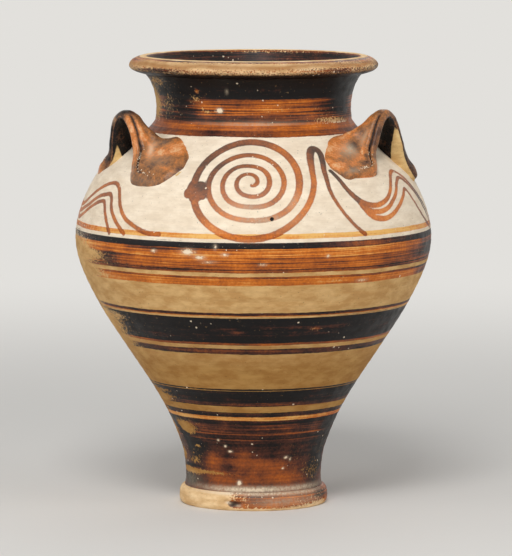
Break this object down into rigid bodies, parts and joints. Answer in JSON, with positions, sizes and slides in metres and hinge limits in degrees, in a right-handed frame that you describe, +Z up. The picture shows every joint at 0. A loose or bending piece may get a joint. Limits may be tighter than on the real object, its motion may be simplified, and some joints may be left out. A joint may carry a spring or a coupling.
{
  "type": "pithos",
  "caption": "Painted clay storage jar with a swelling shoulder, narrow stem and disc foot, wide rolled lip and upright arched handles on the shoulder.",
  "frame": {"origin": "middle of the resting face under the foot", "axes": "+Z up along the jar's axis; the front of the jar, with the spiral, faces -Y"},
  "size_m": [0.3574, 0.3574, 0.45],
  "materials": {
    "foot_clay": "bare fired clay with worn brown paint",
    "stem_paint": "brown to black slip paint, slightly lustrous",
    "lower_wall_clay": "smoothed buff clay with a dark painted band",
    "belly_paint": "orange to brown slip paint over buff clay",
    "shoulder_slip": "smoothed cream slip with brown painted spirals",
    "neck_paint": "red-brown to black slip paint, slightly lustrous",
    "lip_clay": "bare fired clay with worn paint lines",
    "handle_paint": "brown slip paint, slightly lustrous"
  },
  "bodies": {
    "root": {"foot": "foot_clay", "stem": "stem_paint", "lower_wall": "lower_wall_clay", "belly": "belly_paint", "shoulder": "shoulder_slip", "neck": "neck_paint", "lip": "lip_clay", "handle_left": "handle_paint", "handle_right": "handle_paint", "handle_back": "handle_paint"}
  },
  "joints": []
}
